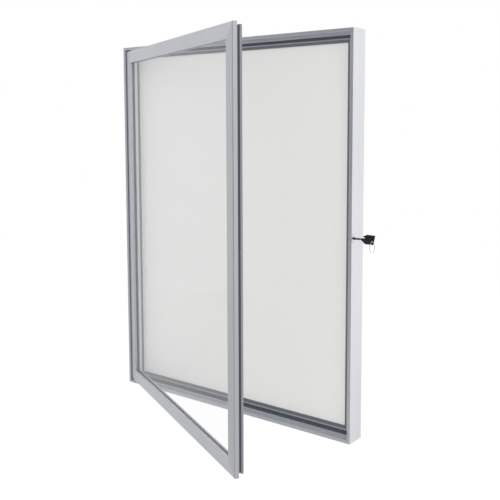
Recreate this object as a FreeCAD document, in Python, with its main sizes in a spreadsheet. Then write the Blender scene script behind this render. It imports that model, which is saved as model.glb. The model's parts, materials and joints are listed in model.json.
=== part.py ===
import FreeCAD, Part
import Sketcher
import os
import re

# Lockable notice board: a shallow wall case of mitred aluminium section with a display panel,
# and a glazed door that hinges on the left and is nested in the case's rim.
# Frame: X to the right, Y to the wall, Z up. The origin is the middle of the back, on the wall.
# Sections are given as (depth back from the front plane, width in from the outer face).

doc = FreeCAD.newDocument("notice_board")
sheet = doc.addObject("Spreadsheet::Sheet", "Dims")

# driving dimensions in millimetres and degrees
VALUES = {
    "case_width": 700, "case_height": 910, "case_depth": 50, "case_wall": 1.5,
    "rim_width": 7.5, "shelf_width": 6.5, "groove_width": 5.5, "ridge_width": 2.5,
    "step_width": 5, "shelf_gap": 2, "ridge_gap": 1.1, "groove_deep": 4.5, "step_deep": 3.5,
    "step_wall": 3, "pocket_deep": 8, "pocket_gap": 1, "pocket_lip": 1.6, "case_round": 0.7,
    "panel_thick": 1, "board_thick": 8, "sheet_thick": 1,
    "seal_thick": 3, "seal_side_gap": 0.4, "seal_wall": 0.8, "seal_inset": 1, "seal_break": 12,
    "rim_seal_play": 0.3, "rim_seal_thick": 1.1, "bead_thick": 1,
    "door_gap": 3, "door_angle": 26.6, "door_wall": 1.6, "door_round": 2, "face_width": 31, "body_width": 21,
    "block_depth": 10, "tongue_gap": 1.5, "tongue_thick": 2, "tongue_depth": 4,
    "body_depth": 12.4, "glass_lip": 5, "rear_lip": 3, "door_seal_thick": 0.8, "door_seal_break": 8,
    "pane_thick": 4, "pane_grip": 6, "gasket_thick": 1.5,
    "hinge_inset": 4.6, "hinge_setback": 5, "pin_diameter": 4, "pin_length": 28, "pin_round": 0.7,
    "pin_play": 0.05, "pin_end_gap": 0.7, "bush_diameter": 7, "bush_flange": 9,
    "bush_floor": 0.5, "door_float": 0.3,
    "cleat_leg": 45, "cleat_width": 12, "cleat_play": 0.1, "door_cleat_leg": 38,
    "door_cleat_width": 11, "screw_diameter": 5, "screw_length": 9, "screw_offset": 30,
    "screw_hex": 2.5, "hole_play": 0.1,
    "insert_diameter": 9, "insert_bore": 5, "insert_length": 14, "insert_head": 12,
    "insert_head_thick": 0.8, "fixing_height": 700,
    "lock_height": 5, "lock_setback": 10.5, "barrel_diameter": 16, "barrel_length": 5.6,
    "barrel_face": 19, "barrel_face_thick": 0.8, "plug_diameter": 7, "plug_proud": 1,
    "plug_play": 0.05, "plug_length": 3.4, "cam_diameter": 13, "cam_thick": 2, "cam_play": 0.3,
    "keyway_play": 0.15, "bolt_setback": 16, "bolt_diameter": 4.4, "bolt_play": 0.05,
    "bolt_hole_play": 0.25, "bolt_start_gap": 0.3, "bolt_end_gap": 0.1, "bolt_round": 0.6,
    "lock_case_height": 18, "lock_case_depth": 6,
    "blade_thick": 2, "blade_height": 4, "blade_inside": 5, "blade_bare": 20, "blade_tang": 8,
    "notch_width": 1.4, "notch_deep": 0.8, "notch_pitch": 2.4,
    "bow_length": 32, "bow_height": 21, "bow_thick": 3.6, "bow_edge": 0.8, "ring_hole": 4,
    "ring_hole_across": 24.5, "ring_hole_down": 3.6, "ring_radius": 11, "ring_wire": 1.2,
    "ring_slack": 0.45,
}
for row, (name, value) in enumerate(VALUES.items(), start=1):
    sheet.set("A%d" % row, name)
    sheet.set("B%d" % row, str(value))
    sheet.setAlias("B%d" % row, name)
doc.recompute()

# places that follow from those dimensions, as formulas of the sheet's names
shelf_edge = "(rim_width + shelf_width)"
groove_edge = "(rim_width + shelf_width + groove_width)"
ridge_edge = "(rim_width + shelf_width + groove_width + ridge_width)"
frame_edge = "(rim_width + shelf_width + groove_width + ridge_width + step_width)"
pocket_edge = "(%s - pocket_deep)" % frame_edge
stack_edge = "(%s + pocket_gap)" % pocket_edge
shelf_level = "(block_depth + shelf_gap)"
door_depth = "(block_depth + body_depth)"
ridge_level = "(%s + ridge_gap)" % door_depth
groove_level = "(%s + groove_deep)" % ridge_level
step_level = "(%s + step_deep)" % ridge_level
panel_level = "(%s + step_wall)" % step_level
stack_thick = "(panel_thick + board_thick + sheet_thick)"
lip_level = "(%s + %s)" % (panel_level, stack_thick)
door_inset = "(rim_width + door_gap)"
tongue_edge = "(shelf_width - door_gap + tongue_gap)"
recess_edge = "(%s + tongue_thick)" % tongue_edge
metal_tongue = "(%s + door_seal_thick)" % tongue_edge
metal_recess = "(%s + door_seal_thick)" % recess_edge
tongue_level = "(%s - tongue_depth)" % door_depth
glass_level = "(glass_lip + gasket_thick)"
channel_end = "(glass_lip + 2 * gasket_thick + pane_thick)"
pane_edge = "(face_width - pane_grip)"
channel_edge = "(%s - gasket_thick)" % pane_edge
door_width = "(case_width - 2 * %s)" % door_inset
door_height = "(case_height - 2 * %s)" % door_inset
hinge_x = "(-case_width / 2 + %s + hinge_inset)" % door_inset
hinge_y = "(hinge_setback - case_depth)"
lock_y = "(lock_setback - case_depth)"


def linked(text):
    """Puts the sheet's name before each of its values in a formula."""
    return re.sub(r"[a-z_]+", lambda m: "Dims." + m[0] if m[0] in VALUES else m[0], text)


def value(text):
    """Works out a formula with the sheet's present values."""
    return float(sheet.evalExpression(linked(text)))


def bind(thing, prop, text):
    thing.setExpression(prop, linked(text))


def place(thing, x, y, z, axis="vector(0; 0; 1)", turn="0", on_door=False):
    """Places a sub-part as it stands with the door closed, then swings it if the door carries it."""
    spot = "placement(vector(%s; %s; %s); rotation(%s; %s))" % (x, y, z, axis, turn)
    if on_door:
        swing = "placement(vector(%s; %s; 0); rotation(vector(0; 0; 1); -door_angle))"
        swing = swing % (hinge_x, hinge_y)
        back = "placement(vector(-%s; -%s; 0); rotation(vector(0; 0; 1); 0))" % (hinge_x, hinge_y)
        spot = "%s * %s * %s" % (swing, back, spot)
    bind(thing, "Placement", spot)


def new_body(label):
    body = doc.addObject("PartDesign::Body", label)
    body.Label = label
    return body


def new_sketch(body, name, plane, start="0"):
    """A sketch on one of the body's own origin planes, moved along the plane's normal by start."""
    sketch = body.newObject("Sketcher::SketchObject", name)
    base = [f for f in body.Origin.OriginFeatures if f.Role == plane][0]
    sketch.AttachmentSupport = [(base, "")]
    sketch.MapMode = "FlatFace"
    bind(sketch, "AttachmentOffset", "placement(vector(0; 0; %s); rotation(vector(0; 0; 1); 0))" % start)
    return sketch


def pin_point(sketch, edge, point, x, y):
    """Holds one point of a sketch at (x, y), given as formulas."""
    for kind, axis, text in (("DistanceX", -2, x), ("DistanceY", -1, y)):
        if text == "0":
            sketch.addConstraint(Sketcher.Constraint("PointOnObject", edge, point, axis))
            continue
        row = sketch.addConstraint(Sketcher.Constraint(kind, -1, 1, edge, point, value(text)))
        bind(sketch, "Constraints[%d]" % row, text)


def add_outline(sketch, corners):
    """Adds a closed outline whose corners are pairs of formulas."""
    spots = [FreeCAD.Vector(value(x), value(y), 0) for x, y in corners]
    first = sketch.GeometryCount
    for index, spot in enumerate(spots):
        sketch.addGeometry(Part.LineSegment(spot, spots[(index + 1) % len(spots)]), False)
    for index in range(len(spots)):
        after = (index + 1) % len(spots)
        sketch.addConstraint(Sketcher.Constraint("Coincident", first + index, 2, first + after, 1))
    for index, (x, y) in enumerate(corners):
        pin_point(sketch, first + index, 1, x, y)


def add_box(sketch, x1, y1, x2, y2):
    add_outline(sketch, [(x1, y1), (x2, y1), (x2, y2), (x1, y2)])


def add_circle(sketch, x, y, diameter):
    centre = FreeCAD.Vector(value(x), value(y), 0)
    edge = sketch.addGeometry(Part.Circle(centre, FreeCAD.Vector(0, 0, 1), value(diameter) / 2), False)
    row = sketch.addConstraint(Sketcher.Constraint("Diameter", edge, value(diameter)))
    bind(sketch, "Constraints[%d]" % row, diameter)
    pin_point(sketch, edge, 3, x, y)


def pad(body, name, sketch, length, symmetric=False, reverse=False):
    feature = body.newObject("PartDesign::Pad", name)
    feature.Profile = sketch
    feature.SideType = "Symmetric" if symmetric else "One side"
    feature.Reversed = reverse
    bind(feature, "Length", length)
    doc.recompute()
    return feature


def cut(body, name, sketch, length=None, reverse=False):
    """Cuts a sketch out of the body: to a depth, or right through both ways."""
    before = body.Shape.Volume
    feature = body.newObject("PartDesign::Pocket", name)
    feature.Profile = sketch
    feature.Reversed = reverse
    if length is None:
        feature.Type = "ThroughAll"
        feature.SideType = "Symmetric"
    else:
        bind(feature, "Length", length)
    doc.recompute()
    if body.Shape.Volume >= before:
        raise RuntimeError("%s of %s cuts nothing" % (name, body.Label))
    return feature


def spin(body, name, outline):
    """Turns an outline of (radius, height) about the body's Z axis."""
    sketch = new_sketch(body, name + "_outline", "XZ_Plane")
    add_outline(sketch, outline)
    feature = body.newObject("PartDesign::Revolution", name)
    feature.Profile = sketch
    feature.ReferenceAxis = (sketch, ["V_Axis"])
    feature.Angle = 360
    doc.recompute()
    return feature


def group(label, members):
    """One node made of several separate solids."""
    compound = doc.addObject("Part::Compound", label)
    compound.Label = label
    compound.Links = members
    return compound


# case section

def case_section(sketch):
    add_outline(sketch, [
        ("-case_depth", "0"), ("-case_depth", "rim_width"),
        ("%s - case_depth" % shelf_level, "rim_width"),
        ("%s - case_depth" % shelf_level, shelf_edge),
        ("%s - case_depth" % groove_level, shelf_edge),
        ("%s - case_depth" % groove_level, groove_edge),
        ("%s - case_depth" % ridge_level, groove_edge),
        ("%s - case_depth" % ridge_level, ridge_edge),
        ("%s - case_depth" % step_level, ridge_edge),
        ("%s - case_depth" % step_level, frame_edge),
        ("%s - case_depth" % panel_level, frame_edge),
        ("%s - case_depth" % panel_level, pocket_edge),
        ("%s - case_depth" % lip_level, pocket_edge),
        ("%s - case_depth" % lip_level, frame_edge),
        ("%s + pocket_lip - case_depth" % lip_level, frame_edge),
        ("%s + pocket_lip - case_depth" % lip_level, pocket_edge),
        ("0", pocket_edge), ("0", "0"),
    ])
    add_outline(sketch, [
        ("case_wall - case_depth", "case_wall"),
        ("case_wall - case_depth", "rim_width - case_wall"),
        ("%s + case_wall - case_depth" % shelf_level, "rim_width - case_wall"),
        ("%s + case_wall - case_depth" % shelf_level, "%s - case_wall" % shelf_edge),
        ("%s + case_wall - case_depth" % groove_level, "%s - case_wall" % shelf_edge),
        ("%s + case_wall - case_depth" % groove_level, "%s - case_wall" % pocket_edge),
        ("-case_wall", "%s - case_wall" % pocket_edge), ("-case_wall", "case_wall"),
    ])


def door_section(sketch):
    add_outline(sketch, [
        ("-case_depth", "0"), ("-case_depth", "face_width"),
        ("glass_lip - case_depth", "face_width"), ("glass_lip - case_depth", channel_edge),
        ("%s - case_depth" % channel_end, channel_edge),
        ("%s - case_depth" % channel_end, "face_width"),
        ("%s + rear_lip - case_depth" % channel_end, "face_width"),
        ("%s + rear_lip - case_depth" % channel_end, "body_width"),
        ("%s - case_depth" % door_depth, "body_width"),
        ("%s - case_depth" % door_depth, metal_tongue),
        ("%s - case_depth" % tongue_level, metal_tongue),
        ("%s - case_depth" % tongue_level, metal_recess),
        ("block_depth - case_depth", metal_recess), ("block_depth - case_depth", "0"),
    ])
    add_outline(sketch, [
        ("door_wall - case_depth", "door_wall"),
        ("door_wall - case_depth", "face_width - door_wall"),
        ("glass_lip - door_wall - case_depth", "face_width - door_wall"),
        ("glass_lip - door_wall - case_depth", "%s - door_wall" % channel_edge),
        ("%s + rear_lip - door_wall - case_depth" % channel_end, "%s - door_wall" % channel_edge),
        ("%s + rear_lip - door_wall - case_depth" % channel_end, "body_width - door_wall"),
        ("%s - door_wall - case_depth" % door_depth, "body_width - door_wall"),
        ("%s - door_wall - case_depth" % door_depth, "%s + door_wall" % metal_recess),
        ("block_depth - door_wall - case_depth", "%s + door_wall" % metal_recess),
        ("block_depth - door_wall - case_depth", "door_wall"),
    ])


def front_edge(feature, width):
    """Names the lengthwise front edge of a bar that lies at a width."""
    front = -value("case_depth")
    for number, edge in enumerate(feature.Shape.Edges, start=1):
        ends = [vertex.Point for vertex in edge.Vertexes]
        along = len(ends) == 2 and abs(ends[0].x - ends[1].x) > 1
        if along and all(abs(end.y - front) < 0.001 and abs(end.z - value(width)) < 0.001 for end in ends):
            return "Edge%d" % number
    raise RuntimeError("no front edge at " + width)


def mitred_bar(label, section, length, inner_edge, rounded):
    """A length of hollow section along X, with rounded front edges and both ends mitred."""
    body = new_body(label)
    sketch = new_sketch(body, label + "_section", "YZ_Plane")
    section(sketch)
    bar = pad(body, label + "_length", sketch, length, symmetric=True)
    for width, radius in rounded:
        rounding = body.newObject("PartDesign::Fillet", label + "_rounding")
        rounding.Base = (bar, [front_edge(bar, width)])
        bind(rounding, "Radius", radius)
        doc.recompute()
        bar = rounding
    mitres = new_sketch(body, label + "_mitre_lines", "XZ_Plane")
    for side in ("-", ""):
        end = "%s%s / 2" % (side, length)
        inward = "+" if side else "-"
        far = "%s %s %s" % (end, inward, inner_edge)
        add_outline(mitres, [(end, "0"), (end, inner_edge), (far, inner_edge)])
    cut(body, label + "_mitres", mitres)
    return body


def case_bar(label, length):
    return mitred_bar(label, case_section, length, frame_edge,
                      [("0", "case_round"), ("rim_width", "case_round")])


def door_bar(label, length):
    return mitred_bar(label, door_section, length, "face_width",
                      [("0", "door_round"), ("face_width", "case_round")])


def back_holes(body, name, spots, width, diameter, depth):
    """Round holes into the back of a case bar, at places along it and one width in from its side."""
    sketch = new_sketch(body, name + "_circles", "XZ_Plane")
    for spot in spots:
        add_circle(sketch, spot, width, diameter)
    cut(body, name, sketch, depth, reverse=True)


def edge_hole(body, name, along, setback, diameter, start, depth):
    """A round hole into the bar's width, square to its outer face."""
    sketch = new_sketch(body, name + "_circle", "XY_Plane", start)
    add_circle(sketch, along, "%s - case_depth" % setback, diameter)
    cut(body, name, sketch, depth, reverse=True)


screw_width = "(case_wall + cleat_width / 2)"
insert_width = "(%s / 2)" % pocket_edge


def screw_spots(length):
    return ["-%s / 2 + screw_offset" % length, "%s / 2 - screw_offset" % length]


def case_rails():
    """The case's top and bottom: screw holes at the back and a bush hole at the hinge side."""
    rails = []
    for label, z, turn, side in (("case_rail_top", "case_height / 2", "180", "-"),
                                 ("case_rail_bottom", "-case_height / 2", "0", "")):
        rail = case_bar(label, "case_width")
        back_holes(rail, label + "_screw_holes", screw_spots("case_width"), screw_width,
                   "screw_diameter + hole_play", "case_wall")
        edge_hole(rail, label + "_bush_hole", side + hinge_x, "hinge_setback",
                  "bush_diameter + hole_play", "case_wall", "rim_width - case_wall")
        place(rail, "0", "0", z, "vector(0; 1; 0)", turn)
        rails.append(rail)
    return rails


def case_stiles():
    """The case's sides: screw and insert holes at the back, and the lock's holes at the right."""
    stiles = []
    for label, x, turn in (("case_stile_left", "-case_width / 2", "90"),
                           ("case_stile_right", "case_width / 2", "-90")):
        stile = case_bar(label, "case_height")
        back_holes(stile, label + "_screw_holes", screw_spots("case_height"), screw_width,
                   "screw_diameter + hole_play", "case_wall")
        fixings = ["-fixing_height / 2", "fixing_height / 2"]
        back_holes(stile, label + "_insert_holes", fixings, insert_width,
                   "insert_diameter + hole_play", "case_wall")
        back_holes(stile, label + "_insert_seats", fixings, insert_width,
                   "insert_head + hole_play", "insert_head_thick")
        place(stile, x, "0", "0", "vector(0; 1; 0)", turn)
        stiles.append(stile)
    lock_side = stiles[1]
    edge_hole(lock_side, "barrel_hole", "lock_height", "lock_setback",
              "barrel_diameter + hole_play", "0", "case_wall")
    edge_hole(lock_side, "bolt_hole", "lock_height", "bolt_setback",
              "bolt_diameter + 2 * bolt_hole_play", "%s - case_wall" % shelf_edge, "case_wall")
    return stiles


def cleat(label, wall, leg, width, level, depth):
    """An L cleat in the hollow of a mitred corner, with its outer corner at the origin's side."""
    body = new_body(label)
    sketch = new_sketch(body, label + "_outline", "XZ_Plane", "-(%s - case_depth)" % level)
    near = "(%s + cleat_play)" % wall
    far = "(%s + %s)" % (near, leg)
    inner = "(%s + %s)" % (near, width)
    add_outline(sketch, [(near, near), (far, near), (far, inner), (inner, inner), (inner, far), (near, far)])
    pad(body, label + "_block", sketch, depth, reverse=True)
    return body


corner_places = (("-1", "-1", "0"), ("1", "-1", "-90"), ("1", "1", "180"), ("-1", "1", "90"))


def place_in_corner(thing, side, end, turn):
    place(thing, "%s * case_width / 2" % side, "0", "%s * case_height / 2" % end, "vector(0; 1; 0)", turn)


def case_cleats():
    """Four cleats behind the groove, tapped for the grub screws in the back."""
    cleats = []
    level = "(%s + case_wall)" % groove_level
    for number, (side, end, turn) in enumerate(corner_places, start=1):
        body = cleat("case_cleat_%d" % number, "case_wall", "cleat_leg", "cleat_width",
                     level, "case_depth - case_wall - %s" % level)
        holes = new_sketch(body, body.Label + "_hole_circles", "XZ_Plane", "case_wall")
        add_circle(holes, "screw_offset", screw_width, "screw_diameter + hole_play")
        add_circle(holes, screw_width, "screw_offset", "screw_diameter + hole_play")
        cut(body, body.Label + "_holes", holes, "screw_length - case_wall", reverse=True)
        place_in_corner(body, side, end, turn)
        cleats.append(body)
    return group("case_corner_cleats", cleats)


def case_screws():
    """Eight grub screws with hexagon sockets, flush with the back."""
    screws = []
    for number, (side, end, turn) in enumerate(corner_places, start=1):
        for leg, (x, z) in enumerate((("screw_offset", screw_width), (screw_width, "screw_offset")), start=1):
            body = new_body("case_screw_%d_%d" % (number, leg))
            shank = new_sketch(body, body.Label + "_circle", "XZ_Plane")
            add_circle(shank, x, z, "screw_diameter")
            pad(body, body.Label + "_shank", shank, "screw_length")
            socket = new_sketch(body, body.Label + "_socket_circle", "XZ_Plane")
            add_circle(socket, x, z, "screw_hex")
            cut(body, body.Label + "_socket", socket, "screw_hex", reverse=True)
            place_in_corner(body, side, end, turn)
            screws.append(body)
    return group("case_corner_screws", screws)


def plate(label, width, height, thick, level, on_door=False):
    """A flat rectangular sheet, centred on the board, with its front at a depth."""
    box = doc.addObject("Part::Box", label)
    box.Label = label
    bind(box, "Length", width)
    bind(box, "Width", thick)
    bind(box, "Height", height)
    place(box, "-%s / 2" % width, "%s - case_depth" % level, "-%s / 2" % height, on_door=on_door)
    return box


def panel_stack():
    """The display panel, its core board and the back sheet, one behind another in the case's pocket."""
    width = "(case_width - 2 * %s)" % stack_edge
    height = "(case_height - 2 * %s)" % stack_edge
    board_level = "(%s + panel_thick)" % panel_level
    sheet_level = "(%s + board_thick)" % board_level
    return [plate("display_panel", width, height, "panel_thick", panel_level),
            plate("backing_board", width, height, "board_thick", board_level),
            plate("back_sheet", width, height, "sheet_thick", sheet_level)]


def add_ring(body, name, outer, inner, level, thick, edge_of=("case_width", "case_height")):
    """A flat rectangular ring between two insets from the edge of the case or the door."""
    sketch = new_sketch(body, name + "_outline", "XZ_Plane", "-(%s - case_depth)" % level)
    for inset in (outer, inner):
        half_width = "(%s / 2 - (%s))" % (edge_of[0], inset)
        half_height = "(%s / 2 - (%s))" % (edge_of[1], inset)
        add_box(sketch, "-" + half_width, "-" + half_height, half_width, half_height)
    pad(body, name, sketch, thick, reverse=True)


def break_at_lock(body, name, width, outer, inner, high, level, depth):
    """Cuts a ring's lock side between two insets, where the bolt comes through."""
    sketch = new_sketch(body, name + "_outline", "XZ_Plane", "-(%s - case_depth)" % level)
    add_box(sketch, "%s / 2 - (%s)" % (width, inner), "lock_height - %s / 2" % high,
            "%s / 2 - (%s)" % (width, outer), "lock_height + %s / 2" % high)
    cut(body, name, sketch, depth)


def case_seal():
    """Rubber seal that lines the floor and the outer wall of the case's groove."""
    body = new_body("case_seal")
    floor = "(%s - seal_thick)" % groove_level
    start = "(%s + seal_inset)" % shelf_level
    lining = "(%s + seal_wall)" % shelf_edge
    add_ring(body, "seal_floor", shelf_edge, "%s - seal_side_gap" % groove_edge, floor, "seal_thick")
    add_ring(body, "seal_lining", shelf_edge, lining, start, "%s - %s" % (groove_level, start))
    break_at_lock(body, "seal_bolt_gap", "case_width", shelf_edge, lining, "seal_break",
                  start, "%s - %s" % (floor, start))
    return body


def rim_seal():
    """Rubber strip on the case's shelf, at the foot of the rim, behind the closed door's edge."""
    body = new_body("rim_seal")
    add_ring(body, "rim_strip", "rim_width", "%s - rim_seal_play" % door_inset,
             "%s - rim_seal_thick" % shelf_level, "rim_seal_thick")
    return body


def panel_bead():
    """Rubber bead over the case's inner step, which ends against the display panel."""
    body = new_body("panel_bead")
    front = "(%s - bead_thick)" % step_level
    inner = "(%s + bead_thick)" % frame_edge
    add_ring(body, "bead_front", ridge_edge, inner, front, "bead_thick")
    add_ring(body, "bead_leg", frame_edge, inner, front, "%s - %s" % (panel_level, front))
    return body


def wall_inserts():
    """Threaded inserts in the back of the stiles, which the wall fixings screw into."""
    inserts = []
    bore, body_r, head_r = "insert_bore / 2", "insert_diameter / 2", "insert_head / 2"
    for side in ("-1", "1"):
        for end in ("-1", "1"):
            body = new_body("wall_insert_%d" % (len(inserts) + 1))
            spin(body, body.Label + "_turning", [
                (bore, "0"), (head_r, "0"), (head_r, "-insert_head_thick"),
                (body_r, "-insert_head_thick"), (body_r, "-insert_length"), (bore, "-insert_length")])
            place(body, "%s * (case_width / 2 - %s)" % (side, insert_width), "0",
                  "%s * fixing_height / 2" % end, "vector(1; 0; 0)", "-90")
            inserts.append(body)
    return group("wall_inserts", inserts)


def hinge_bushes():
    """Flanged nylon bushes in the rims of the top and bottom rails."""
    bushes = []
    bore = "(pin_diameter / 2 + pin_play)"
    flange = "(door_gap - door_float)"
    depth = "(rim_width - case_wall)"
    for label, z, turn in (("hinge_bush_top", "case_height / 2 - rim_width", "180"),
                           ("hinge_bush_bottom", "rim_width - case_height / 2", "0")):
        body = new_body(label)
        spin(body, label + "_turning", [
            ("0", "-" + depth), ("bush_diameter / 2", "-" + depth), ("bush_diameter / 2", "0"),
            ("bush_flange / 2", "0"), ("bush_flange / 2", flange), (bore, flange),
            (bore, "bush_floor - " + depth), ("0", "bush_floor - " + depth)])
        place(body, hinge_x, hinge_y, z, "vector(1; 0; 0)", turn)
        bushes.append(body)
    return bushes


def hinge_pins():
    """Steel pivot pins, fixed in the door's hinge-side cleats and turning in the bushes."""
    pins = []
    start = "(rim_width - (%s) + bush_floor + pin_end_gap)" % "rim_width - case_wall"
    for label, z, turn in (("hinge_pin_top", "case_height / 2 - %s" % start, "180"),
                           ("hinge_pin_bottom", "%s - case_height / 2" % start, "0")):
        body = new_body(label)
        radius, soft = "pin_diameter / 2", "pin_round"
        spin(body, label + "_turning", [
            ("0", "0"), ("%s - %s" % (radius, soft), "0"), (radius, soft),
            (radius, "pin_length - %s" % soft), ("%s - %s" % (radius, soft), "pin_length"),
            ("0", "pin_length")])
        place(body, hinge_x, hinge_y, z, "vector(1; 0; 0)", turn, on_door=True)
        pins.append(body)
    return pins


def door_rails():
    """The door's top and bottom, drilled where the pivot pins pass."""
    rails = []
    for label, sign, turn, side in (("door_rail_top", "", "180", ""), ("door_rail_bottom", "-", "0", "-")):
        rail = door_bar(label, door_width)
        edge_hole(rail, label + "_pin_hole", "%s(%s / 2 - hinge_inset)" % (side, door_width),
                  "hinge_setback", "pin_diameter + hole_play", "0", "door_wall")
        place(rail, "0", "0", "%s%s / 2" % (sign, door_height), "vector(0; 1; 0)", turn, on_door=True)
        rails.append(rail)
    return rails


def door_stiles():
    stiles = []
    for label, sign, turn in (("door_stile_hinge", "-", "90"), ("door_stile_lock", "", "-90")):
        stile = door_bar(label, door_height)
        place(stile, "%s%s / 2" % (sign, door_width), "0", "0", "vector(0; 1; 0)", turn, on_door=True)
        stiles.append(stile)
    return stiles


def door_cleats():
    """L cleats in the door's corners; the two at the hinge side hold the pivot pins."""
    nodes = []
    for label, picked in (("door_cleats_hinge", (0, 3)), ("door_cleats_lock", (1, 2))):
        cleats = []
        for index in picked:
            side, end, turn = corner_places[index]
            body = cleat("door_cleat_%d" % (index + 1), "door_wall", "door_cleat_leg", "door_cleat_width",
                         "(door_wall + cleat_play)", "block_depth - 2 * (door_wall + cleat_play)")
            if label == "door_cleats_hinge":
                upright = index == 0
                hole = new_sketch(body, body.Label + "_pin_circle", "XY_Plane" if upright else "YZ_Plane",
                                  "door_wall")
                setback = "hinge_setback - case_depth"
                across = ("hinge_inset", setback) if upright else (setback, "hinge_inset")
                add_circle(hole, across[0], across[1], "pin_diameter + hole_play")
                cut(body, body.Label + "_pin_hole", hole, "pin_length", reverse=True)
            place(body, "%s * %s / 2" % (side, door_width), "0", "%s * %s / 2" % (end, door_height),
                  "vector(0; 1; 0)", turn, on_door=True)
            cleats.append(body)
        nodes.append(group(label, cleats))
    return nodes


def door_pane():
    """Clear pane held all round in the gasket."""
    return plate("door_pane", "(%s - 2 * %s)" % (door_width, pane_edge),
                 "(%s - 2 * %s)" % (door_height, pane_edge), "pane_thick", glass_level, on_door=True)


def door_seal():
    """Rubber profile round the door's edge: it lines the recess and covers the tongue."""
    body = new_body("door_seal")
    door = (door_width, door_height)
    front = "(%s - door_seal_thick)" % tongue_level
    add_ring(body, "recess_lining", recess_edge, metal_recess, "block_depth",
             "%s - block_depth" % tongue_level, door)
    add_ring(body, "tongue_front", tongue_edge, metal_recess, front, "door_seal_thick", door)
    add_ring(body, "tongue_cover", tongue_edge, metal_tongue, tongue_level, "tongue_depth", door)
    break_at_lock(body, "tongue_bolt_gap", door_width, tongue_edge, recess_edge, "door_seal_break",
                  front, "door_seal_thick")
    place(body, "0", "0", "0", on_door=True)
    return body


def pane_gasket():
    """Rubber channel round the pane's edge, flush with the frame's lips."""
    body = new_body("pane_gasket")
    add_ring(body, "gasket_block", channel_edge, "face_width", "glass_lip",
             "%s - glass_lip" % channel_end, (door_width, door_height))
    slot = new_sketch(body, "pane_slot_outline", "XZ_Plane", "-(%s - case_depth)" % glass_level)
    half_width = "(%s / 2 - %s)" % (door_width, pane_edge)
    half_height = "(%s / 2 - %s)" % (door_height, pane_edge)
    add_box(slot, "-" + half_width, "-" + half_height, half_width, half_height)
    cut(body, "pane_slot", slot, "pane_thick")
    place(body, "0", "0", "0", on_door=True)
    return body


# lock: its pieces turn and slide along X, so each is built along Z with the outside up

def place_in_lock(thing, setback="lock_setback", out="0"):
    place(thing, "case_width / 2 + %s" % out, "%s - case_depth" % setback, "lock_height",
          "vector(0; 1; 0)", "90")


def lock_barrel():
    """Housing with a round face on the case's side, bored for the plug and pocketed for the cam."""
    body = new_body("lock_barrel")
    bore, pocket = "(plug_diameter / 2 + plug_play)", "(cam_diameter / 2 + cam_play)"
    spin(body, "barrel_turning", [
        (bore, "barrel_face_thick"), ("barrel_face / 2", "barrel_face_thick"), ("barrel_face / 2", "0"),
        ("barrel_diameter / 2", "0"), ("barrel_diameter / 2", "-barrel_length"), (pocket, "-barrel_length"),
        (pocket, "-plug_length"), (bore, "-plug_length")])
    place_in_lock(body)
    return body


def keyway(body, name):
    """Slot for the key, through a piece that turns with it."""
    slot = new_sketch(body, name + "_outline", "XY_Plane")
    half_height = "(blade_height / 2 + keyway_play)"
    half_thick = "(blade_thick / 2 + keyway_play)"
    add_box(slot, "-" + half_height, "-" + half_thick, half_height, half_thick)
    cut(body, name, slot)


def lock_plug():
    body = new_body("lock_plug")
    radius, front = "plug_diameter / 2", "(barrel_face_thick + plug_proud)"
    spin(body, "plug_turning", [
        ("0", "-plug_length"), (radius, "-plug_length"), (radius, "%s - bow_edge / 2" % front),
        ("%s - bow_edge / 2" % radius, front), ("0", front)])
    keyway(body, "plug_keyway")
    place_in_lock(body)
    return body


def lock_cam():
    """Face cam on the plug's inner end, which drives the bolt."""
    body = new_body("lock_cam")
    radius = "cam_diameter / 2"
    inner = "(plug_length + cam_thick)"
    spin(body, "cam_turning", [("0", "-" + inner), (radius, "-" + inner), (radius, "-plug_length"),
                               ("0", "-plug_length")])
    keyway(body, "cam_keyway")
    place_in_lock(body)
    return body


def lock_case():
    """Block in the stile's hollow, between barrel and shelf, that guides the bolt."""
    body = new_body("lock_case")
    sketch = new_sketch(body, "lock_case_outline", "XY_Plane", "-barrel_length")
    near = "(%s + case_wall - bolt_setback)" % shelf_level
    add_box(sketch, "-lock_case_height / 2", near, "lock_case_height / 2", near + " + lock_case_depth")
    pad(body, "lock_case_block", sketch, "%s - case_wall - barrel_length" % shelf_edge, reverse=True)
    bore = new_sketch(body, "bolt_bore_circle", "XY_Plane")
    add_circle(bore, "0", "0", "bolt_diameter + 2 * bolt_play")
    cut(body, "bolt_bore", bore)
    place_in_lock(body, "bolt_setback")
    return body


def lock_bolt():
    """Round bolt, drawn back: its tip lies inside the shelf's inner wall."""
    body = new_body("lock_bolt")
    radius = "bolt_diameter / 2"
    start = "(barrel_length + bolt_start_gap)"
    tip = "(%s - bolt_end_gap)" % shelf_edge
    spin(body, "bolt_turning", [
        ("0", "-" + tip), ("%s - bolt_round" % radius, "-" + tip), (radius, "bolt_round - " + tip),
        (radius, "-" + start), ("0", "-" + start)])
    place_in_lock(body, "bolt_setback")
    return body


# key: built with the lock's face at X = 0 and the blade along X

def place_key(thing):
    place(thing, "case_width / 2", lock_y, "lock_height")


def key_blade():
    """Flat steel blade with small notches near its tip, and a tang inside the bow."""
    body = new_body("key_blade")
    sketch = new_sketch(body, "blade_outline", "XZ_Plane")
    top, low, end = "blade_height / 2", "-blade_height / 2", "blade_bare + blade_tang"
    corners = [("-blade_inside", top), ("-blade_inside", low)]
    for tooth in range(3):
        near = "(notch_pitch * %d - blade_inside + notch_width)" % (tooth + 1)
        far = "(%s + notch_width)" % near
        corners += [(near, low), ("%s + notch_width / 2" % near, low + " + notch_deep"), (far, low)]
    add_outline(sketch, corners + [(end, low), (end, top)])
    pad(body, "blade_plate", sketch, "blade_thick", symmetric=True)
    place_key(body)
    return body


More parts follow.
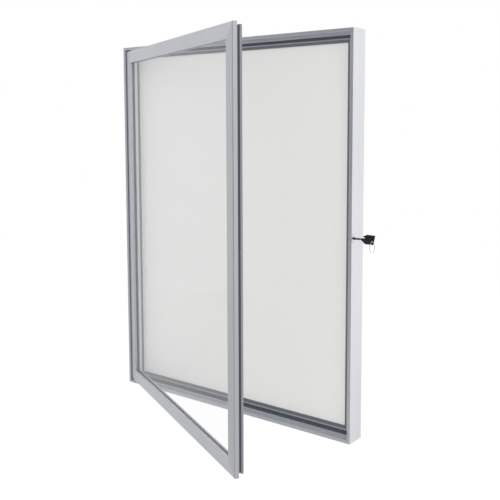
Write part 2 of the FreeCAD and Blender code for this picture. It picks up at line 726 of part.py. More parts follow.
def key_bow():
    """Moulded bow: a slanted four-sided grip with a notch beside the blade and a hole for the ring."""
    body = new_body("key_bow")
    neck, half = "blade_height / 2", "bow_height / 2"
    near = "blade_bare"
    sketch = new_sketch(body, "bow_outline", "XZ_Plane")
    add_outline(sketch, [
        ("%s - 0.03 * bow_length" % near, "-%s - notch_deep / 2" % neck),
        ("%s + 0.24 * bow_length" % near, "-0.93 * %s" % half),
        ("%s + 0.84 * bow_length" % near, "-0.96 * %s" % half),
        ("%s + 0.98 * bow_length" % near, half),
        ("%s + 0.38 * bow_length" % near, "1.05 * %s" % half),
        ("%s + 0.04 * bow_length" % near, "0.6 * %s" % half),
        ("%s + 0.3 * bow_length" % near, "0.28 * %s" % half),
        ("%s - 0.03 * bow_length" % near, "%s + notch_deep / 2" % neck)])
    solid = pad(body, "bow_plate", sketch, "bow_thick", symmetric=True)
    faces = ["Face%d" % number for number, face in enumerate(solid.Shape.Faces, start=1)
             if abs(face.normalAt(0, 0).y) > 0.99]
    soft = body.newObject("PartDesign::Fillet", "bow_rounding")
    soft.Base = (solid, faces)
    bind(soft, "Radius", "bow_edge")
    doc.recompute()
    hole = new_sketch(body, "ring_hole_circle", "XZ_Plane")
    add_circle(hole, "%s + ring_hole_across" % near, "-ring_hole_down", "ring_hole")
    cut(body, "ring_eye", hole)
    tang = new_sketch(body, "tang_slot_outline", "YZ_Plane")
    add_box(tang, "-blade_thick / 2", "-blade_height / 2", "blade_thick / 2", "blade_height / 2")
    cut(body, "tang_slot", tang, "blade_bare + blade_tang", reverse=True)
    place_key(body)
    return body


def key_ring():
    """Wire ring that hangs from the bow's hole, square to the bow."""
    ring = doc.addObject("Part::Torus", "key_ring")
    ring.Label = "key_ring"
    bind(ring, "Radius1", "ring_radius")
    bind(ring, "Radius2", "ring_wire / 2")
    drop = "(ring_hole_down + ring_hole / 2 - ring_wire / 2 - ring_slack + ring_radius)"
    place(ring, "case_width / 2 + blade_bare + ring_hole_across", lock_y, "lock_height - %s" % drop,
          "vector(0; 1; 0)", "90")
    return ring


nodes = (case_rails() + case_stiles() + [case_cleats(), case_screws()] + panel_stack()
         + [case_seal(), rim_seal(), panel_bead(), wall_inserts()] + hinge_bushes()
         + [lock_barrel(), lock_case()] + door_rails() + door_stiles() + door_cleats()
         + [door_pane(), pane_gasket(), door_seal()] + hinge_pins()
         + [lock_plug(), lock_cam(), lock_bolt(), key_blade(), key_bow(), key_ring()])
doc.recompute()

for thing in doc.Objects:
    if "Invalid" in thing.State or "Error" in thing.State:
        raise RuntimeError("%s failed: %s" % (thing.Label, thing.State))
for node in nodes:
    if node.Shape.isNull() or not node.Shape.isValid() or not node.Shape.Solids:
        raise RuntimeError("%s has no valid solid" % node.Label)

os.makedirs("parts", exist_ok=True)
for node in nodes:
    node.Shape.exportStep("parts/%s.step" % node.Label)
    box = node.Shape.BoundBox
    print("%-20s %d solid(s) %9.0f mm3  x %.1f..%.1f  y %.1f..%.1f  z %.1f..%.1f" % (
        node.Label, len(node.Shape.Solids), node.Shape.Volume,
        box.XMin, box.XMax, box.YMin, box.YMax, box.ZMin, box.ZMax))
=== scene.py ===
import json
import math

import bmesh
import bpy
from mathutils import Matrix, Vector


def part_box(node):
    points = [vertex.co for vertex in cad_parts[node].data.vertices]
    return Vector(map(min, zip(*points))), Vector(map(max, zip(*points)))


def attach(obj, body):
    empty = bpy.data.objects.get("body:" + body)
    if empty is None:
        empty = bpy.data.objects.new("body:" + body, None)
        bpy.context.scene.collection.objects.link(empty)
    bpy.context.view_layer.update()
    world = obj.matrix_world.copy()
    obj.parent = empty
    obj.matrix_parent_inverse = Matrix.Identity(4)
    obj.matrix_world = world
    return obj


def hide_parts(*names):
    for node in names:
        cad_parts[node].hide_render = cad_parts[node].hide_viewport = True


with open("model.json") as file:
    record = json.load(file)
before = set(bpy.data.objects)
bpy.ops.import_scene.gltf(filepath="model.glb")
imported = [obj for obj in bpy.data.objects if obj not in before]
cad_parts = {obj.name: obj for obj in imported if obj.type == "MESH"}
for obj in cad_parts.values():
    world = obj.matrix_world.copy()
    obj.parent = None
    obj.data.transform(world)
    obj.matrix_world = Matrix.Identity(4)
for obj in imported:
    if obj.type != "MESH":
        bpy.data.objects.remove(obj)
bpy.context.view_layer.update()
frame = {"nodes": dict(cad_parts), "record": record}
nodes = frame["nodes"]
joints = {joint["name"]: joint for joint in frame["record"]["behaviour"]["joints"]}
print("frame loaded:", len(nodes), "CAD nodes")

mm = 0.001


def linearColour(hexText, alpha=1.0):
    # sRGB hex to the linear values that shaders take
    out = []
    for start in (0, 2, 4):
        part = int(hexText.lstrip("#")[start:start + 2], 16) / 255
        out.append(part / 12.92 if part <= 0.04045 else ((part + 0.055) / 1.055) ** 2.4)
    return (*out, alpha)


def addNode(tree, kind, settings=None, inputs=None, links=None, stops=None):
    # one node with its settings, its input values, what feeds it and, on a colour ramp, its stops
    node = tree.nodes.new(kind)
    for name, setting in (settings or {}).items():
        setattr(node, name, setting)
    for name, value in (inputs or {}).items():
        node.inputs[name].default_value = value
    for name, source in (links or {}).items():
        tree.links.new(source, node.inputs[name])
    for number, (place, colour) in enumerate(stops or []):
        elements = node.color_ramp.elements
        element = elements[number] if number < len(elements) else elements.new(place)
        element.position = place
        element.color = colour
    return node


def newMaterial(name):
    material = bpy.data.materials.new(name)
    material.use_nodes = True
    material.node_tree.nodes.clear()
    return material, material.node_tree


def finishMaterial(tree, shader):
    out = addNode(tree, "ShaderNodeOutputMaterial")
    tree.links.new(shader.outputs[0], out.inputs["Surface"])


def addObject(name, data):
    made = bpy.data.objects.new(name, data)
    bpy.context.scene.collection.objects.link(made)
    return made


# camera

cameraView = {
    "place": (1.1818, -1.4840, 0.2504),   # metres from the middle of the back
    "turn": 37.70, "down": 5.56, "roll": 0.17,   # degrees
    "lens": 55.39, "sensor": 36,   # millimetres
    "shiftDown": 0.10,   # share of the picture's width
}


def addCamera():
    look = cameraView
    data = bpy.data.cameras.new("photoView")
    data.lens = look["lens"]
    data.sensor_width = look["sensor"]
    data.shift_y = -look["shiftDown"]
    data.clip_start, data.clip_end = 0.05, 50   # metres
    camera = addObject("photoView", data)
    turn = Matrix.Rotation(math.radians(look["turn"]), 4, "Z")
    down = Matrix.Rotation(math.radians(90 - look["down"]), 4, "X")
    roll = Matrix.Rotation(math.radians(-look["roll"]), 4, "Z")
    camera.matrix_world = Matrix.Translation(look["place"]) @ turn @ down @ roll
    bpy.context.scene.camera = camera


addCamera()
print("camera placed")

# materials, with pattern sizes in millimetres

doorHinge = joints["door_hinge"]["pos_m"]
doorTurn = joints["door_hinge"]["range_deg"][0]   # the door's turn about Z, from shut to how it stands here

aluminiumFinish = {
    "light": "#D6D7DB", "dark": "#C9CACE", "toneSpan": (0.45, 0.9),   # where the pattern is dark and light
    "metallic": 0.8, "roughness": 0.38, "roughnessPlay": 0.04,
    "lineWidth": 1.6, "lineLength": 900, "lineHeight": 0.02,   # die lines, drawn coarser than the real 0.1 mm
    "cloudSize": 143, "cloudShare": 0.35,   # broad soft patches, and how much they add to the lines
}


def anodisedAluminium(name, turn, shade):
    # satin anodised aluminium extrusion: soft wide highlights and faint die lines along the bar; shade scales
    # its colour down as painted shade
    look = aluminiumFinish
    material, tree = newMaterial(name)
    place = addNode(tree, "ShaderNodeTexCoord").outputs["Object"]
    straight = addNode(tree, "ShaderNodeMapping", {"vector_type": "TEXTURE"},
                       {"Rotation": [math.radians(part) for part in turn]}, {"Vector": place})
    across = 1 / (look["lineWidth"] * mm)
    stretched = addNode(tree, "ShaderNodeMapping", None,
                        {"Scale": (1 / (look["lineLength"] * mm), across, across)},
                        {"Vector": straight.outputs[0]})
    lines = addNode(tree, "ShaderNodeTexNoise", None, {"Scale": 1.0, "Detail": 2.0, "Roughness": 0.6},
                    {"Vector": stretched.outputs[0]})
    cloud = addNode(tree, "ShaderNodeTexNoise", None,
                    {"Scale": 1 / (look["cloudSize"] * mm), "Detail": 2.0}, {"Vector": place})
    both = addNode(tree, "ShaderNodeMath", {"operation": "MULTIPLY_ADD"}, {1: look["cloudShare"]},
                   {0: cloud.outputs["Fac"], 2: lines.outputs["Fac"]})
    # shade darkens both tones: painted shade on a bar that is the same aluminium as the rest
    tones = [(*(part * shade for part in linearColour(look[tone])[:3]), 1) for tone in ("dark", "light")]
    colour = addNode(tree, "ShaderNodeValToRGB", links={"Fac": both.outputs[0]},
                     stops=zip(look["toneSpan"], tones))
    rough = addNode(tree, "ShaderNodeMapRange", None,
                    {"From Min": 0.3, "From Max": 0.7, "To Min": look["roughness"] - look["roughnessPlay"],
                     "To Max": look["roughness"] + look["roughnessPlay"]}, {"Value": lines.outputs["Fac"]})
    bump = addNode(tree, "ShaderNodeBump", None, {"Strength": 0.25, "Distance": look["lineHeight"] * mm},
                   {"Height": lines.outputs["Fac"]})
    shader = addNode(tree, "ShaderNodeBsdfPrincipled", None, {"Metallic": look["metallic"]},
                     {"Base Color": colour.outputs[0], "Roughness": rough.outputs[0],
                      "Normal": bump.outputs[0]})
    finishMaterial(tree, shader)
    return material


galvanisedFinish = {
    "light": "#BFC3C6", "dark": "#A9ADB1", "spangle": 12, "roughness": (0.38, 0.55), "metallic": 0.85,
}


def galvanisedSteel():
    # hot-dip galvanised sheet: grey, with angular spangles that are each a little lighter or duller
    look = galvanisedFinish
    material, tree = newMaterial("galvanisedSteel")
    place = addNode(tree, "ShaderNodeTexCoord").outputs["Object"]
    cells = addNode(tree, "ShaderNodeTexVoronoi", None, {"Scale": 1 / (look["spangle"] * mm)},
                    {"Vector": place})
    tone = addNode(tree, "ShaderNodeSeparateColor", None, None, {"Color": cells.outputs["Color"]})
    colour = addNode(tree, "ShaderNodeValToRGB", links={"Fac": tone.outputs[0]},
                     stops=[(0, linearColour(look["dark"])), (1, linearColour(look["light"]))])
    smooth, dull = look["roughness"]
    rough = addNode(tree, "ShaderNodeMapRange", None, {"To Min": smooth, "To Max": dull},
                    {"Value": tone.outputs[1]})
    shader = addNode(tree, "ShaderNodeBsdfPrincipled", None, {"Metallic": look["metallic"]},
                     {"Base Color": colour.outputs[0], "Roughness": rough.outputs[0]})
    finishMaterial(tree, shader)
    return material


glassFinish = {
    "mirrored": "#F6F8F8", "ior": 1.5, "roughness": 0.03,
    "bothFaces": 1.3,   # how much more the pane's two faces mirror than one does
    "waveSize": 333, "waveHeight": 0.05,   # the faint unevenness of its faces
}


def floatGlass():
    # clear float glass: no colour of its own, and it mirrors more the flatter it is seen
    look = glassFinish
    material, tree = newMaterial("floatGlass")
    place = addNode(tree, "ShaderNodeTexCoord").outputs["Object"]
    waves = addNode(tree, "ShaderNodeTexNoise", None, {"Scale": 1 / (look["waveSize"] * mm), "Detail": 1.0},
                    {"Vector": place})
    bump = addNode(tree, "ShaderNodeBump", None, {"Strength": 0.1, "Distance": look["waveHeight"] * mm},
                   {"Height": waves.outputs["Fac"]})
    fresnel = addNode(tree, "ShaderNodeFresnel", None, {"IOR": look["ior"]})
    bothFaces = addNode(tree, "ShaderNodeMapRange", None, {"To Max": look["bothFaces"]},
                        {"Value": fresnel.outputs[0]})
    behind = addNode(tree, "ShaderNodeNewGeometry").outputs["Backfacing"]
    shown = addNode(tree, "ShaderNodeMapRange", None, {"To Max": 0.0},
                    {"Value": behind, "To Min": bothFaces.outputs[0]})
    shader = addNode(tree, "ShaderNodeBsdfPrincipled", None,
                     {"Base Color": linearColour(look["mirrored"]), "Roughness": look["roughness"],
                      "Metallic": 1.0},
                     {"Normal": bump.outputs[0], "Alpha": shown.outputs[0]})
    finishMaterial(tree, shader)
    return material


doorSealFinish = {
    # front: darker tones, painted shade in the recess; back: paler tones, painted light on the tongue's lip
    "front": {"light": "#50545A", "dark": "#484C52"}, "back": {"light": "#93919A", "dark": "#8A8891"},
    "changeAt": 12.6,   # how far behind the hinge line the tongue's cover begins
    "grain": 1.5, "height": 0.02, "roughness": 0.6,
}


def doorSealRubber():
    # one grey rubber seal painted two ways: a darker web in front, painted shade for the door edge's shaded
    # recess, and a paler cover on the tongue behind, painted light where its lip catches light
    look = doorSealFinish
    material, tree = newMaterial("doorSealPaintedShade")
    place = addNode(tree, "ShaderNodeTexCoord").outputs["Object"]
    shut = addNode(tree, "ShaderNodeMapping", {"vector_type": "TEXTURE"},
                   {"Location": doorHinge, "Rotation": (0, 0, math.radians(doorTurn))}, {"Vector": place})
    depth = addNode(tree, "ShaderNodeSeparateXYZ", None, None, {"Vector": shut.outputs[0]})
    behind = addNode(tree, "ShaderNodeMath", {"operation": "GREATER_THAN"}, {1: look["changeAt"] * mm},
                     {0: depth.outputs["Y"]})
    grain = addNode(tree, "ShaderNodeTexNoise", None, {"Scale": 1 / (look["grain"] * mm), "Detail": 3.0},
                    {"Vector": place})
    front, back = [addNode(tree, "ShaderNodeValToRGB", links={"Fac": grain.outputs["Fac"]},
                           stops=[(0.3, linearColour(tones["dark"])), (0.7, linearColour(tones["light"]))])
                   for tones in (look["front"], look["back"])]
    # switches to the paler tones behind changeAt: painted shade in front, painted light behind
    colour = addNode(tree, "ShaderNodeMix", {"data_type": "RGBA"}, None,
                     {0: behind.outputs[0], 6: front.outputs[0], 7: back.outputs[0]})
    bump = addNode(tree, "ShaderNodeBump", None, {"Strength": 0.4, "Distance": look["height"] * mm},
                   {"Height": grain.outputs["Fac"]})
    shader = addNode(tree, "ShaderNodeBsdfPrincipled", None, {"Roughness": look["roughness"]},
                     {"Base Color": colour.outputs[2], "Normal": bump.outputs[0]})
    finishMaterial(tree, shader)
    return material


plainFinishes = {   # grains are drawn coarser than the real ones, which are too fine to show
    # die-cast aluminium: grey, grainy, with a dull shine
    "diecastAluminium": {"light": "#A3A6A9", "dark": "#85888C", "grain": 2.5, "roughness": 0.5,
                         "metallic": 0.8, "height": 0.05},
    # stove-enamelled steel sheet: off-white and even, with a soft gloss
    "enamelledSteel": {"light": "#E4E4E2", "dark": "#DEDEDC", "grain": 1.2, "roughness": 0.32,
                       "height": 0.004, "detail": 1.0},
    # pressed softwood fibre: brown, flecked and quite matte
    "softwoodFibreboard": {"light": "#B79C76", "dark": "#8F7551", "grain": 1.5, "roughness": 0.9,
                           "height": 0.1},
    # bright zinc plating: pale bluish grey, a little cloudy
    "zincPlatedSteel": {"light": "#C4C8CB", "dark": "#A2A7AB", "grain": 1.0, "roughness": 0.35,
                        "metallic": 0.9, "height": 0.01},
    # polished nickel plating: silvery and nearly mirror-like
    "nickelPlatedZinc": {"light": "#CBCBCF", "dark": "#BBBBC0", "grain": 3.0, "roughness": 0.24,
                         "metallic": 1.0, "height": 0.003},
    # dark grey steel with a metal's shine
    "darkGreySteel": {"light": "#63666F", "dark": "#4F525A", "grain": 2.0, "roughness": 0.32,
                       "metallic": 0.9, "height": 0.003},
    # hardened spring steel: mid grey and smooth
    "springSteel": {"light": "#90939C", "dark": "#7E818A", "grain": 3.0, "roughness": 0.3,
                    "metallic": 1.0, "height": 0.003},
    # solid dark grey EPDM rubber: matte; where it lines the groove's wall its dark grey is also painted shade
    # for the groove
    "epdmRubberAndPaintedShade": {"light": "#595D67", "dark": "#4D515A", "grain": 1.5, "roughness": 0.7, "height": 0.02},
    # bead over the panel's inner step, painted dark grey: painted shade for the shade along the step; matte
    # with a faint sheen
    "panelBeadPaintedShade": {"light": "#676A71", "dark": "#5C5F66", "grain": 1.5, "roughness": 0.6, "height": 0.02},
    # pale grey thermoplastic rubber: matte with a faint sheen
    "greyTpe": {"light": "#9EA2AB", "dark": "#9296A0", "grain": 1.5, "roughness": 0.6, "height": 0.02},
    # grey silicone rubber: smooth, a little glossier than the other rubbers
    "siliconeRubber": {"light": "#8F929A", "dark": "#83868E", "grain": 1.5, "roughness": 0.5, "height": 0.02},
    # moulded nylon: near black with a satin skin
    "mouldedNylon": {"light": "#2A2B2C", "dark": "#1E1F20", "grain": 0.8, "roughness": 0.5, "height": 0.01},
    # moulded ABS: black with a fine satin texture
    "mouldedAbs": {"light": "#191A1B", "dark": "#111213", "grain": 0.6, "roughness": 0.45, "height": 0.02},
}


def speckled(name, light, dark, grain, roughness, height, metallic=0.0, detail=3.0):
    # a surface whose colour and height vary a little with a grain of the given size
    material, tree = newMaterial(name)
    place = addNode(tree, "ShaderNodeTexCoord").outputs["Object"]
    noise = addNode(tree, "ShaderNodeTexNoise", None, {"Scale": 1 / (grain * mm), "Detail": detail},
                    {"Vector": place})
    colour = addNode(tree, "ShaderNodeValToRGB", links={"Fac": noise.outputs["Fac"]},
                     stops=[(0.3, linearColour(dark)), (0.7, linearColour(light))])
    bump = addNode(tree, "ShaderNodeBump", None, {"Strength": 0.4, "Distance": height * mm},
                   {"Height": noise.outputs["Fac"]})
    shader = addNode(tree, "ShaderNodeBsdfPrincipled", None, {"Metallic": metallic, "Roughness": roughness},
                     {"Base Color": colour.outputs[0], "Normal": bump.outputs[0]})
    finishMaterial(tree, shader)
    return material


barFinishes = {   # how the die lines lie on each kind of bar, in degrees about X, Y and Z, and its painted shade, a factor that darkens its colour
    "anodisedAluminiumRail": ((0, 0, 0), 1.0),
    "anodisedAluminiumStile": ((0, 90, 0), 1.0),
    "anodisedAluminiumDoorRail": ((0, 0, doorTurn), 1.0),
    # the door's free stile is a darker copy of the same aluminium: painted shade for the dimmer light its
    # face reflects
    "anodisedAluminiumDoorStilePaintedShade": ((0, 90, 0), 0.88),
}

finishes = {name: speckled(name, **look) for name, look in plainFinishes.items()}
for finishName, (barTurn, barPaintedShade) in barFinishes.items():
    finishes[finishName] = anodisedAluminium(finishName, barTurn, barPaintedShade)
finishes["galvanisedSteel"] = galvanisedSteel()
finishes["floatGlass"] = floatGlass()
finishes["doorSealPaintedShade"] = doorSealRubber()

nodesOfFinish = {
    "anodisedAluminiumRail": ["case_rail_top", "case_rail_bottom"],
    "anodisedAluminiumStile": ["case_stile_left", "case_stile_right", "door_stile_hinge"],
    "anodisedAluminiumDoorRail": ["door_rail_top", "door_rail_bottom"],
    "anodisedAluminiumDoorStilePaintedShade": ["door_stile_lock"],
    "diecastAluminium": ["case_corner_cleats", "door_cleats_hinge", "door_cleats_lock"],
    "zincPlatedSteel": ["case_corner_screws", "wall_inserts", "hinge_pin_top", "hinge_pin_bottom",
                        "lock_case", "lock_cam", "lock_bolt"],
    "enamelledSteel": ["display_panel"],
    "softwoodFibreboard": ["backing_board"],
    "galvanisedSteel": ["back_sheet"],
    "epdmRubberAndPaintedShade": ["case_seal"],
    "greyTpe": ["rim_seal"],
    "panelBeadPaintedShade": ["panel_bead"],
    "doorSealPaintedShade": ["door_seal"],
    "siliconeRubber": ["pane_gasket"],
    "mouldedNylon": ["hinge_bush_top", "hinge_bush_bottom"],
    "nickelPlatedZinc": ["lock_barrel", "key_ring"],
    "darkGreySteel": ["lock_plug"],
    "springSteel": ["key_blade"],
    "mouldedAbs": ["key_bow"],
    "floatGlass": ["door_pane"],
}
for finishName, nodeNames in nodesOfFinish.items():
    for nodeName in nodeNames:
        for materialSlot in nodes[nodeName].material_slots:
            materialSlot.material = finishes[finishName]
print("materials made:", len(finishes))

# tools for the pieces made here


def addPiece(name, mesh, material):
    piece = addObject(name, mesh)
    mesh.materials.clear()
    mesh.materials.append(material)
    return piece


def smoothFaces(mesh, sharpFrom=35):
    mesh.shade_smooth()
    mesh.set_sharp_from_angle(angle=math.radians(sharpFrom))


def bakedMesh(piece):
    # the mesh that the piece's modifiers give
    bpy.context.view_layer.update()
    ready = piece.evaluated_get(bpy.context.evaluated_depsgraph_get())
    return bpy.data.meshes.new_from_object(ready)


def roundedLoop(corners, radius, steps=5, mostOfSide=0.45):
    # a closed outline with its corners rounded, by no more than a share of the sides next to each
    loop = []
    for number, corner in enumerate(map(Vector, corners)):
        before = Vector(corners[number - 1]) - corner
        after = Vector(corners[(number + 1) % len(corners)]) - corner
        half = before.angle(after) / 2
        reach = min(radius / math.tan(half), mostOfSide * before.length, mostOfSide * after.length)
        start = corner + before.normalized() * reach
        end = corner + after.normalized() * reach
        for step in range(steps + 1):
            part = step / steps
            loop.append(start * (1 - part) ** 2 + corner * 2 * part * (1 - part) + end * part ** 2)
    return loop


def insetLoop(loop, distance):
    # moves each point of an anticlockwise outline inwards
    moved = []
    for number, point in enumerate(loop):
        along = (loop[(number + 1) % len(loop)] - loop[number - 1]).normalized()
        moved.append(point + Vector((-along.y, along.x)) * distance)
    return moved


def stackedLoops(name, layers):
    # closed solid through outlines in the XZ plane, each at its own Y
    shape = bmesh.new()
    rings = [[shape.verts.new((x, y, z)) for x, z in loop] for y, loop in layers]
    shape.faces.new(rings[0])
    shape.faces.new(list(reversed(rings[-1])))
    for low, high in zip(rings, rings[1:]):
        for number in range(len(low)):
            following = (number + 1) % len(low)
            shape.faces.new((low[number], high[number], high[following], low[following]))
    bmesh.ops.recalc_face_normals(shape, faces=shape.faces)
    mesh = bpy.data.meshes.new(name)
    shape.to_mesh(mesh)
    shape.free()
    return mesh


def newTree(name, sizes):
    # Geometry Nodes tree with its named inputs
    tree = bpy.data.node_groups.new(name, "GeometryNodeTree")
    tree.interface.new_socket("Geometry", in_out="OUTPUT", socket_type="NodeSocketGeometry")
    for label, value in sizes.items():
        kind = "NodeSocketInt" if isinstance(value, int) else "NodeSocketFloat"
        tree.interface.new_socket(label, in_out="INPUT", socket_type=kind)
    return tree, addNode(tree, "NodeGroupInput").outputs


def finishTree(tree, shape, material):
    real = addNode(tree, "GeometryNodeRealizeInstances", None, None, {"Geometry": shape})
    dressed = addNode(tree, "GeometryNodeSetMaterial", None, {"Material": material},
                      {"Geometry": real.outputs["Geometry"]})
    addNode(tree, "NodeGroupOutput", None, None, {"Geometry": dressed.outputs["Geometry"]})


def pieceFromTree(name, tree, sizes, material):
    # runs the tree on an empty object and keeps the result as a plain mesh
    piece = addPiece(name, bpy.data.meshes.new(name), material)
    modifier = piece.modifiers.new("shape", "NODES")
    modifier.node_group = tree
    for socket in tree.interface.items_tree:
        if socket.in_out == "INPUT":
            modifier[socket.identifier] = sizes[socket.name]
    mesh = bakedMesh(piece)
    piece.modifiers.clear()
    piece.data = mesh
    smoothFaces(mesh)
    return piece


# key

lockHeight = joints["lock_turn"]["pos_m"][2]

keyBow = {
    # corners in shares of the bow's length and half height, from the end at the blade
    "outline": [(-0.03, -0.23), (0.24, -0.93), (0.84, -0.96), (0.98, 1.0), (0.38, 1.05), (0.04, 0.6),
                (0.3, 0.28), (-0.03, 0.23)],
    "recess": [(0.38, 0.13), (0.89, 0.13), (0.93, 0.8), (0.43, 0.82)],
    "length": 32 * mm, "halfHeight": 10.5 * mm,
    "cornerRadius": 1.4 * mm, "edgeRadius": 0.8 * mm, "recessDeep": 0.5 * mm,
    "eyeAt": (24.5 * mm, -3.6 * mm), "eyeRadius": 2.0 * mm,
    "firstRib": (0.5, 0.47),   # in the same shares as the corners, from the end of the bow's box
}


def makeKeyBow():
    # moulded bow with rounded edges, a sunk grip panel on both faces and the eye for the ring
    look = keyBow
    plastic = finishes["mouldedAbs"]
    low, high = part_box("key_bow")
    start = low[0] - min(x for x, z in look["outline"]) * look["length"]
    middle, half = (low[1] + high[1]) / 2, (high[1] - low[1]) / 2

    def placed(corners):
        return [(start + x * look["length"], lockHeight + z * look["halfHeight"]) for x, z in corners]

    outline = roundedLoop(placed(look["outline"]), look["cornerRadius"])
    edge = look["edgeRadius"]
    layers = []
    for side, turns in ((-1, (90, 60, 30, 0)), (1, (0, 30, 60, 90))):   # round the back edge, then the front
        for turn in map(math.radians, turns):
            level = half - edge + edge * math.sin(turn)
            layers.append((middle + side * level, insetLoop(outline, edge * (1 - math.cos(turn)))))
    bow = addPiece("keyBow", stackedLoops("keyBow", layers), plastic)

    panel = roundedLoop(placed(look["recess"]), look["cornerRadius"])
    eyeMiddle = Vector((start + look["eyeAt"][0], lockHeight + look["eyeAt"][1]))
    eye = [eyeMiddle + look["eyeRadius"] * Vector((math.cos(turn), math.sin(turn)))
           for turn in map(math.radians, range(0, 360, 12))]
    deep, past = half - look["recessDeep"], 2 * half
    cuts = [(panel, middle - past, middle - deep), (panel, middle + deep, middle + past),
            (eye, middle - past, middle + past)]
    for loop, near, far in cuts:
        cutter = addPiece("cutter", stackedLoops("cutter", [(near, loop), (far, loop)]), plastic)
        modifier = bow.modifiers.new("cut", "BOOLEAN")
        modifier.operation = "DIFFERENCE"
        modifier.solver = "EXACT"
        modifier.object = cutter
        mesh = bakedMesh(bow)
        bow.modifiers.clear()
        bow.data = mesh
        bpy.data.objects.remove(cutter)
    smoothFaces(bow.data)
    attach(bow, "key")
    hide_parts("key_bow")


gripRibs = {"Count": 6, "Pitch": 2.2 * mm, "Length": 4.6 * mm, "Radius": 0.42 * mm}


def makeGripRibs():
    # round ribs across both grip panels of the bow
    plastic = finishes["mouldedAbs"]
    tree, given = newTree("gripRibs", gripRibs)
    offset = addNode(tree, "ShaderNodeCombineXYZ", None, None, {"X": given["Pitch"]})
    row = addNode(tree, "GeometryNodeMeshLine", {"mode": "OFFSET"}, None,
                  {"Count": given["Count"], "Offset": offset.outputs[0]})
    rib = addNode(tree, "GeometryNodeMeshCylinder", None, {"Vertices": 12},
                  {"Radius": given["Radius"], "Depth": given["Length"]})
    ribs = addNode(tree, "GeometryNodeInstanceOnPoints", None, None,
                   {"Points": row.outputs["Mesh"], "Instance": rib.outputs["Mesh"]})
    low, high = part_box("key_bow")
    ribX = low[0] + keyBow["firstRib"][0] * keyBow["length"]
    ribZ = lockHeight + keyBow["firstRib"][1] * keyBow["halfHeight"]
    both = addNode(tree, "GeometryNodeJoinGeometry")
    for ribY in (low[1] + keyBow["recessDeep"], high[1] - keyBow["recessDeep"]):
        moved = addNode(tree, "GeometryNodeTransform", None, {"Translation": (ribX, ribY, ribZ)},
                        {"Geometry": ribs.outputs["Instances"]})
        tree.links.new(moved.outputs["Geometry"], both.inputs["Geometry"])
    finishTree(tree, both.outputs["Geometry"], plastic)
    ribPiece = pieceFromTree("keyGripRibs", tree, gripRibs, plastic)
    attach(ribPiece, "key")


splitRing = {"Turns": 1.94, "Wire": 0.58 * mm, "Width": 1.2 * mm, "Corner": 0.15 * mm}


def makeKeyRing():
    # split ring: flat wire wound almost twice, side by side
    nickel = finishes["nickelPlatedZinc"]
    low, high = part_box("key_ring")
    sizes = dict(splitRing, Radius=(high[1] - low[1] - splitRing["Width"]) / 2)
    tree, given = newTree("splitRing", sizes)
    coil = addNode(tree, "GeometryNodeCurveSpiral", None, {"Resolution": 64},
                   {"Rotations": given["Turns"], "Start Radius": given["Radius"],
                    "End Radius": given["Radius"], "Height": given["Wire"]})
    section = addNode(tree, "GeometryNodeCurvePrimitiveQuadrilateral", None, None,
                      {"Width": given["Width"], "Height": given["Wire"]})
    rounded = addNode(tree, "GeometryNodeFilletCurve", {"mode": "POLY"}, {"Count": 2},
                      {"Radius": given["Corner"], "Curve": section.outputs["Curve"]})
    wire = addNode(tree, "GeometryNodeCurveToMesh", None, {"Fill Caps": True},
                   {"Curve": coil.outputs["Curve"], "Profile Curve": rounded.outputs["Curve"]})
    middle = [(a + b) / 2 for a, b in zip(low, high)]
    middle[0] -= splitRing["Wire"] / 2   # the coil grows to +X from here
    upright = addNode(tree, "GeometryNodeTransform", None,
                      {"Translation": middle, "Rotation": (0, math.radians(90), 0)},
                      {"Geometry": wire.outputs["Mesh"]})
    finishTree(tree, upright.outputs["Geometry"], nickel)
    ring = pieceFromTree("keyRing", tree, sizes, nickel)
    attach(ring, "key_ring")
    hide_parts("key_ring")


makeKeyBow()
makeGripRibs()
makeKeyRing()
print("key made")

# studio, in metres from the middle of the back

studio = {
    "floorHeight": -1.45, "floorSize": 12.0, "floorColour": "#EDEDED",
    "floorShare": 0.9, "floorLevel": 1.1,   # how far the floor shows white instead of lit, and how bright
    "floorMirrored": {-1.7: 0.46, 2.3: 1.08},   # share of that brightness that metal mirrors, by place in Y
    # levels of light by where it comes from, from the front (-1) to the back (1)
    "ambient": {-0.9: 0.56, -0.1: 0.31, 0.8: 0.5},   # soft light that falls on the object
    "mirrored": {-0.86: 0.07, -0.68: 0.48, 0.15: 0.88, 0.8: 0.9},   # and what its metal mirrors
    "frontTint": (0.9, 0.99, 1.12), "tintedTo": -0.5,   # tint of what metal mirrors in front, and its end
    "brightest": 2.0,   # top of the scale for these levels
}

lamps = {   # sizes in metres, power in watts
    "keyLamp": {"place": (3.2, -2.4, 1.6), "size": 2.2, "power": 18},
    "leftLamp": {"place": (-3.0, -2.0, 1.0), "size": 3.0, "power": 4},
    "sideLamp": {"place": (3.4, 2.6, 0.6), "size": 4.0, "power": 27},
    "topLamp": {"place": (0.2, 0.1, 3.4), "size": 2.6, "power": 48},
}
lampsAim = (0, -0.1, 0)   # where they all point

fillLight = {"from": (0.5, -1.0, 0.3), "spread": 60, "strength": 1.56}   # even light, no shadows or glints


def seenDirectly(tree):
    # 1 for what the camera sees, also in a mirror or through glass, and 1 for what is seen in a mirror
    rays = addNode(tree, "ShaderNodeLightPath")
    first = addNode(tree, "ShaderNodeMath", {"operation": "MAXIMUM"}, None,
                    {0: rays.outputs["Is Camera Ray"], 1: rays.outputs["Is Glossy Ray"]})
    both = addNode(tree, "ShaderNodeMath", {"operation": "MAXIMUM"}, None,
                   {0: first.outputs[0], 1: rays.outputs["Is Transmission Ray"]})
    return both.outputs[0], rays.outputs["Is Glossy Ray"]


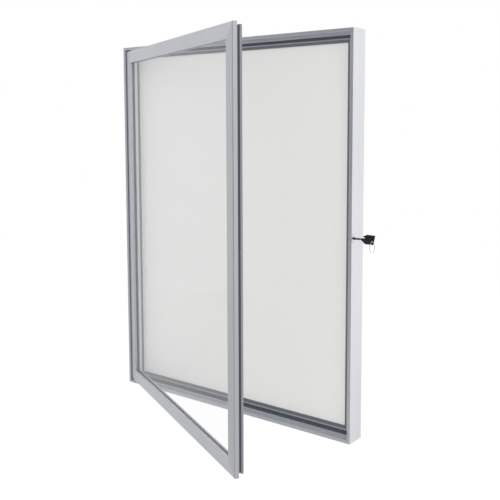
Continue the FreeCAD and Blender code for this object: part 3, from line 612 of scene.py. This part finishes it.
def addFloor():
    # pale floor that shows nearly white, keeps the object's shadow and looks dimmer to metal near the front
    half = studio["floorSize"] / 2
    corners = [(x * half, y * half, studio["floorHeight"]) for x, y in ((-1, -1), (1, -1), (1, 1), (-1, 1))]
    mesh = bpy.data.meshes.new("floor")
    mesh.from_pydata(corners, [], [(0, 1, 2, 3)])
    floor = addObject("floor", mesh)
    material, tree = newMaterial("paleStudioFloor")
    seen, glossy = seenDirectly(tree)
    share = addNode(tree, "ShaderNodeMath", {"operation": "MULTIPLY"}, {1: studio["floorShare"]}, {0: seen})
    place = addNode(tree, "ShaderNodeTexCoord").outputs["Object"]
    depth = addNode(tree, "ShaderNodeSeparateXYZ", None, None, {"Vector": place})
    plain = studio["floorLevel"]
    (near, dim), (far, bright) = studio["floorMirrored"].items()
    mirrored = addNode(tree, "ShaderNodeMapRange", None,
                       {"From Min": near, "From Max": far, "To Min": dim * plain, "To Max": bright * plain},
                       {"Value": depth.outputs["Y"]})
    level = addNode(tree, "ShaderNodeMapRange", None, {"To Min": plain},
                    {"Value": glossy, "To Max": mirrored.outputs[0]})
    matte = addNode(tree, "ShaderNodeBsdfDiffuse", None, {"Color": linearColour(studio["floorColour"])})
    white = addNode(tree, "ShaderNodeEmission", None, {"Color": (1, 1, 1, 1)}, {"Strength": level.outputs[0]})
    mixed = addNode(tree, "ShaderNodeMixShader", None, None,
                    {"Fac": share.outputs[0], 1: matte.outputs[0], 2: white.outputs[0]})
    finishMaterial(tree, mixed)
    mesh.materials.append(material)


def addWorld():
    # white to the camera, soft light to the object, and a dim front and bright back in its metal
    world = bpy.data.worlds.new("studio")
    bpy.context.scene.world = world
    world.use_nodes = True
    tree = world.node_tree
    tree.nodes.clear()
    seen, glossy = seenDirectly(tree)
    direction = addNode(tree, "ShaderNodeTexCoord").outputs["Generated"]
    split = addNode(tree, "ShaderNodeSeparateXYZ", None, None, {"Vector": direction})
    back = addNode(tree, "ShaderNodeMapRange", None, {"From Min": -1.0, "From Max": 1.0},
                   {"Value": split.outputs["Y"]})
    brightest = studio["brightest"]
    ramps = {}
    for name, tint in (("ambient", (1, 1, 1)), ("mirrored", studio["frontTint"])):
        stops = []
        for y, level in studio[name].items():
            shade = tint if y < studio["tintedTo"] else (1, 1, 1)
            stops.append(((y + 1) / 2, (*(level / brightest * part for part in shade), 1)))
        ramps[name] = addNode(tree, "ShaderNodeValToRGB", links={"Fac": back.outputs[0]}, stops=stops)
    shown = addNode(tree, "ShaderNodeMix", {"data_type": "RGBA"}, {6: (*[1 / brightest] * 3, 1)},
                    {0: glossy, 7: ramps["mirrored"].outputs[0]})
    soft = addNode(tree, "ShaderNodeBackground", None, {"Strength": brightest},
                   {"Color": ramps["ambient"].outputs[0]})
    clear = addNode(tree, "ShaderNodeBackground", None, {"Strength": brightest}, {"Color": shown.outputs[2]})
    mixed = addNode(tree, "ShaderNodeMixShader", None, None,
                    {"Fac": seen, 1: soft.outputs[0], 2: clear.outputs[0]})
    out = addNode(tree, "ShaderNodeOutputWorld")
    tree.links.new(mixed.outputs[0], out.inputs["Surface"])


def aimLight(light, direction):
    light.rotation_mode = "QUATERNION"
    light.rotation_quaternion = Vector(direction).to_track_quat("-Z", "Y")


def addLamp(name, look):
    data = bpy.data.lights.new(name, "AREA")
    data.size = look["size"]
    data.energy = look["power"]
    lamp = addObject(name, data)
    lamp.location = look["place"]
    aimLight(lamp, Vector(lampsAim) - Vector(look["place"]))


def addFill():
    data = bpy.data.lights.new("fillLight", "SUN")
    data.energy = fillLight["strength"]
    data.angle = math.radians(fillLight["spread"])
    data.use_shadow = False
    fill = addObject("fillLight", data)
    fill.visible_glossy = False
    aimLight(fill, -Vector(fillLight["from"]))


addFloor()
addWorld()
addFill()
for lampName, lampLook in lamps.items():
    addLamp(lampName, lampLook)
bpy.context.scene.view_settings.view_transform = "Standard"
print("studio ready")
